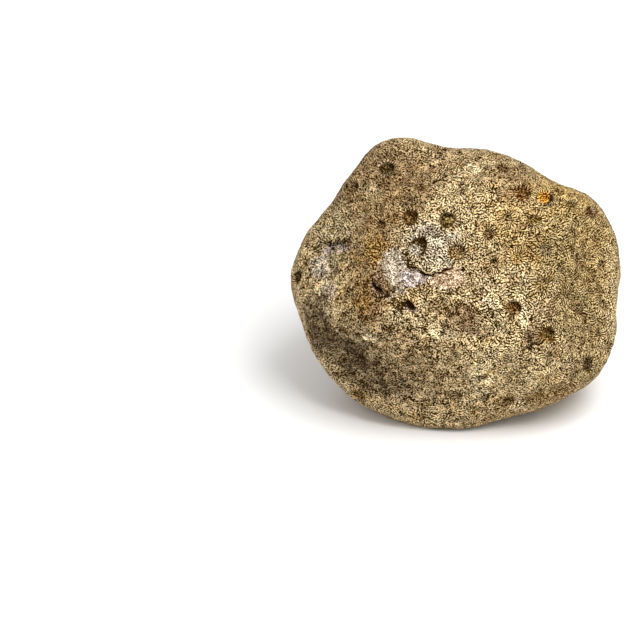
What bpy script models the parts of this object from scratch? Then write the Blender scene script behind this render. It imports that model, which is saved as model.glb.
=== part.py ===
"""Fossil coral head: a water-worn cobble of colonial coral, standing on its flat worn underside.

Blender 4.5, metres, +Z up. The origin is the middle of the base, on the surface that the stone stands on.
The stone's broad face leans back, so its features are placed in face coordinates, in millimetres from the
stone's centre: x to the right, v up the leaning face, w straight out of it.
"""

import math

import bmesh
import bpy
import numpy as np
from mathutils import Vector, noise
from mathutils.geometry import delaunay_2d_cdt

MM = 0.001
NODE = "coral_head"
LEAN = math.radians(30)  # the broad face leans back this far from upright
CENTRE_HEIGHT = 36.2  # of the stone's centre over the base
FRONT_DEPTH = 32.0  # from the rim forward to the crown of the broad face
BACK_DEPTH = 33.0
PILLOW = 2.45  # superellipse exponent: 2 is an ellipsoid, more is blockier
FACET_EDGE = 17.0  # how crisply the worn flats meet: higher is crisper

# The rim, seen square to the broad face: (x, v), anticlockwise from the right.
OUTLINE = (
    (48.1, 4.0), (45.2, 17.4), (39.4, 25.1), (28.7, 29.4), (18.3, 35.7), (9.6, 38.6), (-4.9, 40.0),
    (-17.1, 42.2), (-24.8, 39.0), (-31.0, 31.9), (-36.0, 24.2), (-44.1, 13.9), (-48.3, 2.9), (-45.8, -9.6),
    (-38.3, -25.5), (-20.9, -38.3), (-0.6, -42.1), (15.4, -38.6), (31.3, -33.9), (41.5, -27.1),
    (46.4, -16.8), (46.8, -5.0),
)  # fmt: skip

# Worn flats: (direction they face, as x, v, w; distance from the centre).
FLATS = (
    ((0.10, 0.12, 1.00), 30.5),  # the broad face
    ((-0.56, -0.68, 0.47), 37.4),  # the cheek low on the left
    ((-0.18, -0.78, 0.60), 35.6),  # the jaw under it
    ((0.05, -0.82, 0.58), 37.0),  # under the chin
    ((0.80, -0.05, 0.60), 39.5),  # the right shoulder
    ((-0.10, 0.78, 0.62), 36.5),  # the brow
    ((-0.74, 0.40, 0.54), 37.5),  # the upper left cheek
    ((0.15, 0.55, -0.82), 36.0),  # the back slope
    ((-0.75, 0.05, -0.66), 38.0),  # back left
    ((0.72, 0.10, -0.69), 39.5),  # back right
)

# Broad swellings: (direction, width in degrees, height).
LUMPS = (
    ((0.00, -0.74, -0.67), 34, 5.0),  # the foot, which carries the stone behind the chin
    ((-0.76, -0.20, 0.60), 17, 3.0),  # the ridge above the cheek
    ((-0.46, -0.46, 0.76), 16, 3.0),  # and above the jaw
    ((0.55, 0.45, 0.70), 20, 1.0),
    ((-0.25, 0.45, 0.85), 16, 0.8),
    ((0.40, -0.45, 0.80), 17, 1.0),
    ((-0.55, -0.10, -0.80), 24, 1.6),
    ((0.45, 0.60, -0.60), 22, 1.4),
)
UNEVENNESS = 0.65  # height of the small swellings
UNEVEN_SIZE = 13.0  # distance between them

# The calices that show on the broad face: (x, v, radius of the rim, depth).
FACE_CALICES = (
    (-20.3, 33.0, 2.1, 1.3), (-29.4, 27.6, 1.8, 1.1), (-11.2, 27.0, 1.4, 0.9), (-12.9, 19.2, 2.2, 1.3),
    (-21.6, 15.9, 1.7, 1.2), (-2.3, 18.2, 2.3, 1.2), (-10.5, 11.0, 2.6, 1.9), (0.9, 8.9, 2.1, 0.8),
    (9.2, 25.4, 2.3, 0.7), (18.2, 25.9, 2.6, 1.4), (25.3, 24.4, 2.1, 1.2), (32.0, 22.4, 1.4, 0.9),
    (38.0, 19.9, 1.2, 0.7), (12.4, 33.2, 1.6, 1.1), (22.2, 17.7, 1.9, 0.9), (9.3, 13.4, 1.9, 1.1),
    (10.4, 5.0, 1.5, 0.7), (14.6, 18.1, 1.6, 0.5), (25.5, 9.2, 1.6, 0.6), (34.8, 6.6, 1.8, 0.6),
    (17.0, 6.6, 2.0, 0.5), (24.4, -0.9, 2.4, 0.7), (42.0, 5.0, 1.5, 0.5), (33.4, 14.0, 1.7, 0.5),
    (16.2, -7.6, 2.2, 1.3), (26.2, -15.6, 2.2, 1.7), (37.2, -23.2, 2.0, 0.9), (16.5, -26.6, 2.3, 0.8),
    (6.9, -27.9, 1.4, 0.8), (15.2, -34.0, 1.6, 0.9), (26.4, -21.4, 1.3, 0.7), (35.4, -8.2, 2.0, 0.5),
    (42.4, -6.6, 1.7, 0.5), (41.0, -15.4, 1.8, 0.6),
)  # fmt: skip

# Cracks and slots in the broad face: (width, depth, points of the line as x, v).
CRACKS = (
    (1.1, 1.1, ((-38.6, 10.8), (-35.0, 11.0), (-32.0, 10.8))),
    (1.4, 1.9, ((-24.4, -0.5), (-21.4, -4.0))),
    (1.2, 1.6, ((-16.2, -5.6), (-12.2, -7.8))),
    (0.8, 0.8, ((17.8, -21.5), (21.2, -19.0), (24.8, -17.8))),
    (0.8, 0.6, ((20.5, -14.2), (21.3, -17.4))),
    (1.2, 0.9, ((11.5, -36.4), (20.0, -34.6), (28.0, -31.8), (35.6, -28.0))),
    (1.2, 1.2, ((7.6, -33.0), (7.7, -35.6))),
)

# Scarps, where the broad face steps down along a line. The lower ground is on the right of someone
# walking the line, and rises back to the form further off: (drop, run-out, points as x, v).
SCARPS = (
    (1.1, 6.5, ((-16.9, 11.6), (-16.4, 5.8), (-11.6, 3.9), (-9.0, 1.7), (-4.9, 3.6), (-2.4, 5.4))),
    (0.8, 5.0, ((-24.6, -0.2), (-21.2, -3.6), (-14.4, -1.9), (-8.7, 1.0))),
    (0.5, 4.0, ((-5.6, -2.9), (-1.5, -2.6), (2.6, -1.4))),
    (1.2, 5.0, ((-41.2, 9.6), (-37.0, 11.0), (-33.6, 11.3), (-29.8, 9.8))),
    (0.7, 4.5, ((7.2, -5.6), (9.3, -9.6), (10.4, -12.0), (15.8, -14.2))),
)

# Hollows in the broad face: (x, v, half length, half width, turn in degrees, depth).
HOLLOWS = (
    (2.6, -10.6, 6.0, 3.2, -32, 1.1),
    (-5.2, -6.0, 3.4, 2.2, 10, 0.7),
    (-27.4, -5.4, 5.2, 3.0, -62, 1.0),
    (-29.0, -20.2, 4.2, 3.0, 20, 1.5),
    (-35.4, -17.6, 3.4, 2.6, 60, 1.0),
    (21.8, -16.6, 4.2, 2.6, 8, 0.7),
)

# The calices of the sides and back are spread by trial, closer together as the stone fills up.
HIDDEN_CALICES = 54
HIDDEN_SPACING = (19.0, 13.0)  # degrees apart, seen from the centre
HIDDEN_RADIUS = (1.5, 2.5)
HIDDEN_DEPTH = (0.35, 0.75)  # as a share of the radius
SEED = 11
FURTHEST_FORWARD = 0.15  # of a direction, along w: the broad face has its own calices
FURTHEST_DOWN = 0.62  # of a direction: below this is the base

# A calice across its middle: (share of the rim's radius, share of its depth). The calices lean, so the
# deepest point of each is off its middle, in the direction of GROWTH, by this share of its radius.
PROFILE = ((0.0, 1.0), (0.58, 0.85), (1.0, -0.12), (1.34, 0.0))
GROWTH = np.array((0.6, 0.8, 0.0))
OFF_MIDDLE = 0.45
FACE_SIDES, HIDDEN_SIDES = 10, 8

# How far apart the skin's points lie.
FINE_STEP = 2.25  # on the broad face
COARSE_STEP = 3.3
CRACK_STEP = 2.2
SCARP_WIDTH = 0.6  # from the brink of a scarp to its line
BASE_RING = 14.0  # radius of the ring of points round the middle of the base
BASE_SIDES = 16
EDGE_SIDES = 48  # points round the edge of the base

SURFACE_RGBA = (0.42, 0.31, 0.14, 1.0)
ROUGHNESS = 0.8

# Rows: a point in face coordinates @ FACE_AXES is the point in the room, from the stone's centre.
FACE_AXES = np.array(
    (
        (1.0, 0.0, 0.0),
        (0.0, math.sin(LEAN), math.cos(LEAN)),
        (0.0, -math.cos(LEAN), math.sin(LEAN)),
    )
)
DOWN = FACE_AXES @ np.array((0.0, 0.0, -1.0))  # in face coordinates
ASIDE = np.array(((1.0, 0.0, 0.0), np.cross(DOWN, (1.0, 0.0, 0.0))))  # level, and square to each other


def unit(vectors):
    return vectors / np.linalg.norm(vectors, axis=-1, keepdims=True)


def smooth_step(value, low, high):
    share = np.clip((value - low) / (high - low), 0.0, 1.0)
    return share * share * (3 - 2 * share)


# ---------------------------------------------------------------- the plain form


def rim_radius(angles):
    """Distance from the centre to the rim at these angles: a closed curve through OUTLINE, in polar form."""
    points = np.array(OUTLINE)
    known = np.unwrap(np.arctan2(points[:, 1], points[:, 0]))
    known = np.concatenate((known[-2:] - math.tau, known, known[:2] + math.tau))
    radii = np.hypot(points[:, 0], points[:, 1])
    radii = np.concatenate((radii[-2:], radii, radii[:2]))
    slopes = np.gradient(radii, known)
    angles = (angles - known[2]) % math.tau + known[2]
    left = np.searchsorted(known, angles, side="right") - 1
    gap = known[left + 1] - known[left]
    t = (angles - known[left]) / gap
    return (
        (2 * t**3 - 3 * t**2 + 1) * radii[left]
        + (t**3 - 2 * t**2 + t) * gap * slopes[left]
        + (3 * t**2 - 2 * t**3) * radii[left + 1]
        + (t**3 - t**2) * gap * slopes[left + 1]
    )


def pillow_radius(directions):
    """A superellipsoid with the rim as its equator, and the broad swellings on it."""
    across = np.hypot(directions[:, 0], directions[:, 1])
    rim = rim_radius(np.arctan2(directions[:, 1], directions[:, 0]))
    depth = np.where(directions[:, 2] > 0, FRONT_DEPTH, BACK_DEPTH)
    radius = ((across / rim) ** PILLOW + (np.abs(directions[:, 2]) / depth) ** PILLOW) ** (-1 / PILLOW)
    for toward, width, height in LUMPS:
        apart = np.degrees(np.arccos(np.clip(directions @ unit(np.array(toward)), -1, 1)))
        radius += height * np.exp(-((apart / width) ** 2))
    return radius


def whole_radius(directions):
    """Distance from the centre to the form before its base is cut: the pillow, worn flat in places."""
    closeness = pillow_radius(directions) ** -FACET_EDGE
    off_rim = smooth_step(np.abs(directions[:, 2]), 0.05, 0.45)
    for facing, distance in FLATS:
        closeness += off_rim * (np.maximum(directions @ unit(np.array(facing)), 0) / distance) ** FACET_EDGE
    radius = closeness ** (-1 / FACET_EDGE)
    places = directions * radius[:, None] / UNEVEN_SIZE
    return radius + UNEVENNESS * np.array([noise.fractal(Vector(place), 1.0, 2.0, 3) for place in places])


def form_radius(directions):
    """Distance from the centre to the form along unit directions, the base being level."""
    below = np.maximum(directions @ DOWN, 0.05)
    return np.minimum(whole_radius(directions), CENTRE_HEIGHT / below)


def on_form(directions):
    return directions * form_radius(directions)[:, None]


def face_directions(points):
    """Directions from the centre to the broad face's points over these (x, v)."""
    points = np.asarray(points, float)
    low, high = np.zeros(len(points)), np.full(len(points), 2 * FRONT_DEPTH)
    for _ in range(25):
        trial = np.column_stack((points, (low + high) / 2))
        inside = np.linalg.norm(trial, axis=1) < form_radius(unit(trial))
        low, high = np.where(inside, trial[:, 2], low), np.where(inside, high, trial[:, 2])
    return unit(np.column_stack((points, low)))


# ---------------------------------------------------------------- the calices


def hidden_calices():
    """Direction, radius and depth of each calice on the sides and back."""
    rng = np.random.default_rng(SEED)
    found = []
    while len(found) < HIDDEN_CALICES:
        direction = unit(rng.normal(size=3))
        radius = rng.uniform(*HIDDEN_RADIUS)
        depth = radius * rng.uniform(*HIDDEN_DEPTH)
        room = np.interp(len(found) / HIDDEN_CALICES, (0, 1), HIDDEN_SPACING)
        nearest = max((direction @ other for other, _, _ in found), default=-1.0)
        outside = direction[2] > FURTHEST_FORWARD or direction @ DOWN > FURTHEST_DOWN
        if not outside and nearest < math.cos(math.radians(room)):
            found.append((direction, radius, depth))
    return found


def all_calices():
    """Directions, radii and depths of every open calice."""
    directions = face_directions([calice[:2] for calice in FACE_CALICES])
    found = [(d, radius, depth) for d, (_, _, radius, depth) in zip(directions, FACE_CALICES)]
    found += hidden_calices()
    return tuple(np.array(column) for column in zip(*found))


def ring(direction, distance, sides):
    """Directions to a ring of points on the form round the point in this direction."""
    nudge = 0.02
    first = unit(np.cross(direction, ASIDE[0] + 0.3 * DOWN))
    near = np.array((direction, direction + nudge * first, direction + nudge * np.cross(direction, first)))
    place, along, aside = on_form(unit(near))
    first = unit(along - place)
    normal = unit(np.cross(first, aside - place))
    turns = np.arange(sides) * math.tau / sides
    circle = np.outer(np.cos(turns), first) + np.outer(np.sin(turns), np.cross(normal, first))
    return unit(place + distance * circle)


def leans(directions, radii):
    """From the middle of each calice to its deepest point, along the surface."""
    outward = unit(on_form(directions))
    along = GROWTH - (outward @ GROWTH)[:, None] * outward
    return OFF_MIDDLE * radii[:, None] * along


def calice_points(directions, radii):
    """Directions to the points of each calice: its deepest point, floor, rim and collar."""
    found = []
    places = on_form(directions)
    for number, (place, radius, lean) in enumerate(zip(places, radii, leans(directions, radii))):
        sides = FACE_SIDES if number < len(FACE_CALICES) else HIDDEN_SIDES
        found.append(unit(place + lean)[None])
        for share, _ in PROFILE[1:]:
            middle = unit(place + lean * max(1 - share, 0))
            found.append(ring(middle, radius * share, sides if share >= 1 else sides // 2))
    return np.concatenate(found)


# ---------------------------------------------------------------- cracks and hollows


def to_line(points, line):
    """How far each (x, v) lies from a line of points."""
    nearest = np.full(len(points), np.inf)
    for start, end in zip(np.array(line[:-1]), np.array(line[1:])):
        run = end - start
        share = np.clip((points - start) @ run / (run @ run), 0, 1)
        nearest = np.minimum(nearest, np.linalg.norm(points - start - share[:, None] * run, axis=1))
    return nearest


def from_line(points, line):
    """How far each (x, v) lies to the right of someone walking the line; below zero is to the left."""
    nearest = to_line(points, line)
    offset = np.full(len(points), np.inf)
    for start, end in zip(np.array(line[:-1]), np.array(line[1:])):
        run = unit(end - start)
        share = np.clip((points - start) @ run, 0, np.linalg.norm(end - start))
        gap = points - start - share[:, None] * run
        here = np.linalg.norm(gap, axis=1) <= nearest + 1e-9
        offset = np.where(here & np.isinf(offset), np.sign(gap @ (run[1], -run[0])) * nearest, offset)
    return offset


def crack_points():
    """Directions along the middle and both edges of each crack and scarp, and to its two tips."""
    found = []
    for width, line in [(crack[0], crack[2]) for crack in CRACKS] + [(SCARP_WIDTH, s[2]) for s in SCARPS]:
        line = np.array(line)
        for end, inner in ((line[0], line[1]), (line[-1], line[-2])):
            outward = width * unit(end - inner)
            edge = np.array((-outward[1], outward[0]))
            found += [end + outward, end + 0.8 * edge, end - 0.8 * edge]
        found.append(line[0])
        for start, end in zip(line[:-1], line[1:]):
            length = np.linalg.norm(end - start)
            edge = np.array((start[1] - end[1], end[0] - start[0])) / length * width
            steps = max(1, round(length / CRACK_STEP))
            for step in range(steps):
                middle = start + (step + 0.5) / steps * (end - start)
                found += [middle - edge, middle, middle + edge, start + (step + 1) / steps * (end - start)]
    return face_directions(found)


def depth_below_form(places, calices):
    """How far each point of the form sinks in, for the calices, cracks and hollows."""
    directions, radii, depths = calices
    shares, parts = zip(*PROFILE)
    sunk = np.zeros(len(places))
    for centre, radius, depth, lean in zip(on_form(directions), radii, depths, leans(directions, radii)):
        offset = places - centre
        share = np.linalg.norm(offset, axis=1) / radius
        share = np.linalg.norm(offset - lean * np.maximum(1 - share, 0)[:, None], axis=1) / radius
        sunk += depth * np.interp(share, shares, parts)
    on_face = smooth_step(places[:, 2], 0.0, 6.0)
    for width, depth, line in CRACKS:
        sunk += on_face * depth * (1 - smooth_step(to_line(places[:, :2], line), 0, width))
    for drop, run_out, line in SCARPS:
        offset = from_line(places[:, :2], line)
        lower_side = smooth_step(offset, -SCARP_WIDTH, SCARP_WIDTH)
        sunk += on_face * drop * lower_side * np.exp(-((offset / run_out) ** 2))
    for x, v, half_length, half_width, turn, depth in HOLLOWS:
        turn = math.radians(turn)
        along = (places[:, 0] - x) * math.cos(turn) + (places[:, 1] - v) * math.sin(turn)
        aside = (places[:, 1] - v) * math.cos(turn) - (places[:, 0] - x) * math.sin(turn)
        outward = np.hypot(along / half_length, aside / half_width)
        sunk += on_face * depth * (1 - smooth_step(outward, 0.45, 1.2))
    over_base = CENTRE_HEIGHT - places @ DOWN
    return sunk * smooth_step(over_base, 0.5, 4.0)


# ---------------------------------------------------------------- the skin


def spiral(step):
    """Directions spread evenly over the sphere, so that points on the form lie about a step apart."""
    mean_radius = (FRONT_DEPTH + OUTLINE[0][0]) / 2
    count = round(4 * math.pi * mean_radius**2 / (step**2 * math.sqrt(3) / 2))
    index = np.arange(count) + 0.5
    height = 1 - 2 * index / count
    turn = index * math.pi * (3 - math.sqrt(5))
    across = np.sqrt(1 - height**2)
    return np.column_stack((across * np.cos(turn), across * np.sin(turn), height))


def clear_of(directions, others, gaps):
    """Those of the directions whose points on the form keep their distance from each other point."""
    places = on_form(directions)
    kept = np.ones(len(directions), bool)
    for place, gap in zip(on_form(others), gaps):
        kept &= np.linalg.norm(places - place, axis=1) > gap
    return directions[kept]


def level_circle(sides):
    turns = np.arange(sides) * math.tau / sides
    return np.outer(np.cos(turns), ASIDE[0]) + np.outer(np.sin(turns), ASIDE[1])


def base_edge():
    """Directions to the edge of the base, where the form turns up from it."""
    circle = level_circle(EDGE_SIDES)
    low, high = np.zeros(EDGE_SIDES), np.full(EDGE_SIDES, 3 * BASE_RING)
    for _ in range(25):
        reach = (low + high) / 2
        trial = CENTRE_HEIGHT * DOWN + reach[:, None] * circle
        inside = np.linalg.norm(trial, axis=1) < whole_radius(unit(trial))
        low, high = np.where(inside, reach, low), np.where(inside, high, reach)
    return unit(CENTRE_HEIGHT * DOWN + low[:, None] * circle)


def skin_directions(calices):
    """Directions to every point of the skin, the ring round the middle of the base first."""
    centres, radii, _ = calices
    base, edge = unit(CENTRE_HEIGHT * DOWN + BASE_RING * level_circle(BASE_SIDES)), base_edge()
    collars = radii * PROFILE[-1][0]
    cracks = clear_of(crack_points(), centres, collars + 0.4)
    fine, coarse = spiral(FINE_STEP), spiral(COARSE_STEP)
    on_face = on_form(fine)[:, 2] > 10.0
    filler = np.concatenate((fine[on_face], coarse[on_form(coarse)[:, 2] <= 10.0]))
    filler = filler[CENTRE_HEIGHT - on_form(filler) @ DOWN > 0.1]
    filler = clear_of(filler, edge, np.full(len(edge), 1.5))
    filler = clear_of(filler, centres, collars + 0.9)
    filler = clear_of(filler, cracks, np.full(len(cracks), 1.3))
    return np.concatenate((base, edge, calice_points(centres, radii), cracks, filler))


def skin_faces(directions):
    """Triangles between the directions, with the middle of the base as one last face.

    A stereographic map from the middle of the base lays the sphere of directions out flat. A Delaunay
    triangulation there is one on the sphere too, and the ring round the base is the map's outer edge.
    """
    flat = (directions @ ASIDE.T) / (1 - directions @ DOWN)[:, None]
    triangles = delaunay_2d_cdt([Vector(point) for point in flat], [], [], 0, 1e-9)[2]
    return [list(triangle) for triangle in triangles] + [list(range(BASE_SIDES))]


def stone_mesh():
    calices = all_calices()
    directions = skin_directions(calices)
    places = on_form(directions)
    mesh = bpy.data.meshes.new(NODE)
    mesh.from_pydata(places.tolist(), [], skin_faces(directions))
    solid = bmesh.new()
    solid.from_mesh(mesh)
    bmesh.ops.recalc_face_normals(solid, faces=solid.faces)
    solid.normal_update()
    outward = np.array([vertex.normal[:] for vertex in solid.verts])
    places -= outward * depth_below_form(places, calices)[:, None]
    room = places @ FACE_AXES
    low, high = room.min(axis=0), room.max(axis=0)
    room -= ((low[0] + high[0]) / 2, (low[1] + high[1]) / 2, -CENTRE_HEIGHT)
    for vertex, place in zip(solid.verts, room):
        vertex.co = place * MM
    solid.to_mesh(mesh)
    solid.free()
    return mesh


def stone_material():
    material = bpy.data.materials.new("weathered_coral")
    material.use_nodes = True
    surface = material.node_tree.nodes["Principled BSDF"]
    surface.inputs["Base Color"].default_value = SURFACE_RGBA
    surface.inputs["Roughness"].default_value = ROUGHNESS
    surface.inputs["Metallic"].default_value = 0.0
    return material


def main():
    for obj in list(bpy.data.objects):
        bpy.data.objects.remove(obj)
    mesh = stone_mesh()
    mesh.materials.append(stone_material())
    mesh.shade_smooth()
    stone = bpy.data.objects.new(NODE, mesh)
    bpy.context.scene.collection.objects.link(stone)


main()
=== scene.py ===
# %% [markdown]
# # A fossil coral head
# The object is one water-worn stone, a head of colonial coral that turned to stone and was then rolled on a
# beach. Its surface is covered in calices, the cups that the coral animals sat in. Fine ribs, the septa,
# radiate from each cup until they meet those of its neighbours. The solid model already has the form, the
# open cups and most of the cracks and steps. This script gives it the fine surface and the colours.

# %% Load the solid model
import math

import bpy
import numpy as np
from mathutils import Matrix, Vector
from mathutils.bvhtree import BVHTree


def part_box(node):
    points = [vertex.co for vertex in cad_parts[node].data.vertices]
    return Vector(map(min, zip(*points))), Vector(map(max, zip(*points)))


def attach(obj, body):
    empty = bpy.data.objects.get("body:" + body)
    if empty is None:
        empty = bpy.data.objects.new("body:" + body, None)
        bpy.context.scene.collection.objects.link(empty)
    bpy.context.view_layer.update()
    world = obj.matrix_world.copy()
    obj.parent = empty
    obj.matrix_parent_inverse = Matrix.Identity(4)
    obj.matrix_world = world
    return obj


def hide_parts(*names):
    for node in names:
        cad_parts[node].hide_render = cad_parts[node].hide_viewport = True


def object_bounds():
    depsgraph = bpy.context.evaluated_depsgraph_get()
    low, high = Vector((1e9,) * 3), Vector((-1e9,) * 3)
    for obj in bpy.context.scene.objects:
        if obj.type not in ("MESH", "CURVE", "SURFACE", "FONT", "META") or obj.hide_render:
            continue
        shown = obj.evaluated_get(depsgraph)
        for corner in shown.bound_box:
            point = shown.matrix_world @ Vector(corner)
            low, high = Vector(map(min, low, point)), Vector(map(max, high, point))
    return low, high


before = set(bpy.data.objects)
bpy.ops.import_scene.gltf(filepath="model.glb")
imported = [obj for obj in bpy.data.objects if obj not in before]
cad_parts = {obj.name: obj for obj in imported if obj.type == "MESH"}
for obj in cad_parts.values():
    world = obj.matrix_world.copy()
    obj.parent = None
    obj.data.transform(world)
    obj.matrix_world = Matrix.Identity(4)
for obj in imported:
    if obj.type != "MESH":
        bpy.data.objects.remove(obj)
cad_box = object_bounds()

MM = 0.001
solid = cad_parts["coral_head"]
low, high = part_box("coral_head")
print("The solid is", [round(side / MM, 1) for side in high - low], "mm,", len(solid.data.polygons), "faces")


def unit(vectors):
    return vectors / np.linalg.norm(vectors, axis=-1, keepdims=True)


def smooth_step(value, start, end):
    share = np.clip((value - start) / (end - start), 0.0, 1.0)
    return share * share * (3 - 2 * share)


# %% [markdown]
# ## Face coordinates
# The stone's broad face leans back by 30 degrees, so its features are easier to place in coordinates of its
# own, in millimetres from the middle of the stone: x to the right, v up the leaning face and w straight out
# of it. One small matrix turns the row's coordinates into these and back.

# %% Face coordinates
LEAN = math.radians(30)
STONE_CENTRE = np.array((0.0, -0.3, 36.2))  # in the row, in millimetres
FACE_AXES = np.array(
    (
        (1.0, 0.0, 0.0),
        (0.0, math.sin(LEAN), math.cos(LEAN)),
        (0.0, -math.cos(LEAN), math.sin(LEAN)),
    )
)
FACE_OUT = FACE_AXES[2]


def to_row(points):
    return np.asarray(points, float) @ FACE_AXES + STONE_CENTRE


def to_face(points):
    return (points - STONE_CENTRE) @ FACE_AXES.T


# %% [markdown]
# ## The camera
# The camera looks straight at the broad face, so it is 30 degrees above level. A long lens from two metres
# keeps the far side of the stone almost as large as the near side. The stone stands right of the middle of
# the picture and a little above it, so the camera is moved down and to the left instead of being turned.

# %% Camera
CAMERA_DISTANCE = 2.0
PICTURE_WIDTH = 185.6 * MM  # of what the camera sees at the stone
SHARP_PLANE = 18.0  # mm in front of the stone's middle, where that width holds
ASIDE, BELOW = -39.7, -11.0  # mm from the stone's middle to the middle of the picture

bpy.ops.object.select_all(action="DESELECT")
place = to_row((ASIDE, BELOW, SHARP_PLANE)) * MM + FACE_OUT * CAMERA_DISTANCE
bpy.ops.object.camera_add(location=place, rotation=(math.radians(90) - LEAN, 0, 0))
camera = bpy.context.object
camera.name = "camera"
camera.data.lens = camera.data.sensor_width * CAMERA_DISTANCE / PICTURE_WIDTH
camera.data.clip_end = 20
bpy.context.scene.camera = camera
print("The lens is", round(camera.data.lens), "mm")

# %% [markdown]
# ## Floor and light
# A large pale floor and a white sky give an even, shadow-poor light. One broad lamp high on the right gives
# the cups their dark upper right walls. It is wide, so that its shadows stay soft.

# %% Floor and light
bpy.ops.object.select_all(action="DESELECT")
bpy.ops.mesh.primitive_plane_add(size=8.0, location=(0, 0, 0))
floor = bpy.context.object
floor.name = "floor"
paper = bpy.data.materials.new("white_paper")
paper.use_nodes = True
paper.node_tree.nodes["Principled BSDF"].inputs["Base Color"].default_value = (0.93, 0.93, 0.93, 1)
paper.node_tree.nodes["Principled BSDF"].inputs["Roughness"].default_value = 0.9
floor.data.materials.append(paper)

world = bpy.data.worlds.new("white_sky")
bpy.context.scene.world = world
world.use_nodes = True
world.node_tree.nodes["Background"].inputs["Color"].default_value = (1.0, 1.0, 1.0, 1)
world.node_tree.nodes["Background"].inputs["Strength"].default_value = 0.75


LIT_POINT = Vector((0, 0, 30 * MM))


def add_lamp(name, azimuth, elevation, distance, size, power):
    """A square area lamp that faces the stone, from an azimuth in degrees right of the camera."""
    turn, tilt = math.radians(azimuth), math.radians(elevation)
    toward = Vector((math.sin(turn) * math.cos(tilt), -math.cos(turn) * math.cos(tilt), math.sin(tilt)))
    bpy.ops.object.light_add(type="AREA", location=LIT_POINT + toward * distance)
    lamp = bpy.context.object
    lamp.name = name
    lamp.rotation_euler = toward.to_track_quat("Z", "Y").to_euler()
    lamp.data.size = size
    lamp.data.energy = power


add_lamp("broad_lamp", azimuth=40, elevation=62, distance=1.0, size=0.6, power=9.0)
bpy.context.scene.view_settings.view_transform = "Standard"

# %% [markdown]
# ## A fine skin from the solid
# The solid is made of about nine thousand triangles. A voxel remesh of a copy gives an even skin of small
# quads, and a Smooth modifier takes the edges of the old triangles away. The solid itself is never changed,
# and the new skin stands in for it.

# %% Copy, merge and remesh
VOXEL = 0.7 * MM
MERGE_DISTANCE = 0.01 * MM
SMOOTHING = 0.5  # how far each round moves a point towards its neighbours' middle
SKIN_SMOOTHING = 6  # rounds
LEAST_WEIGHT = 0.001  # a point with less than this isn't put in a vertex group


def apply_modifier(obj, kind, **settings):
    """Adds a modifier with these settings and applies it at once, so that the next step sees its result."""
    bpy.context.view_layer.objects.active = obj
    modifier = obj.modifiers.new(kind.lower(), kind)
    for key, value in settings.items():
        setattr(modifier, key, value)
    bpy.ops.object.modifier_apply(modifier=modifier.name)


bpy.ops.object.select_all(action="DESELECT")
stone = bpy.data.objects.new("weathered_stone", solid.data.copy())
bpy.context.scene.collection.objects.link(stone)
stone.select_set(True)
bpy.context.view_layer.objects.active = stone
bpy.ops.object.mode_set(mode="EDIT")
bpy.ops.mesh.select_all(action="SELECT")
bpy.ops.mesh.remove_doubles(threshold=MERGE_DISTANCE)
bpy.ops.object.mode_set(mode="OBJECT")
apply_modifier(stone, "REMESH", mode="VOXEL", voxel_size=VOXEL, use_smooth_shade=True)
apply_modifier(stone, "SMOOTH", factor=SMOOTHING, iterations=SKIN_SMOOTHING)
print("The skin has", len(stone.data.polygons), "faces")


def points_of(obj):
    """The object's points, in millimetres in the row."""
    flat = np.empty(3 * len(obj.data.vertices))
    obj.data.vertices.foreach_get("co", flat)
    return flat.reshape(-1, 3) / MM


def normals_of(obj):
    flat = np.empty(3 * len(obj.data.vertices))
    obj.data.vertices.foreach_get("normal", flat)
    return flat.reshape(-1, 3)


def paint_group(obj, name, weights):
    """A vertex group with these weights, one for each point, from 0 to 1."""
    group = obj.vertex_groups.new(name=name)
    for index in np.flatnonzero(weights > LEAST_WEIGHT):
        group.add([int(index)], float(weights[index]), "REPLACE")
    return name


def sink(obj, depths):
    """Moves the points in along their normals by these depths in millimetres; out, where below zero."""
    for side, part in ((-1, np.maximum(depths, 0)), (1, np.maximum(-depths, 0))):
        if part.max() > 0:
            group = paint_group(obj, "sink", part / part.max())
            strength = side * part.max() * MM
            apply_modifier(obj, "DISPLACE", strength=strength, mid_level=0.0, vertex_group=group)
            obj.vertex_groups.clear()
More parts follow.
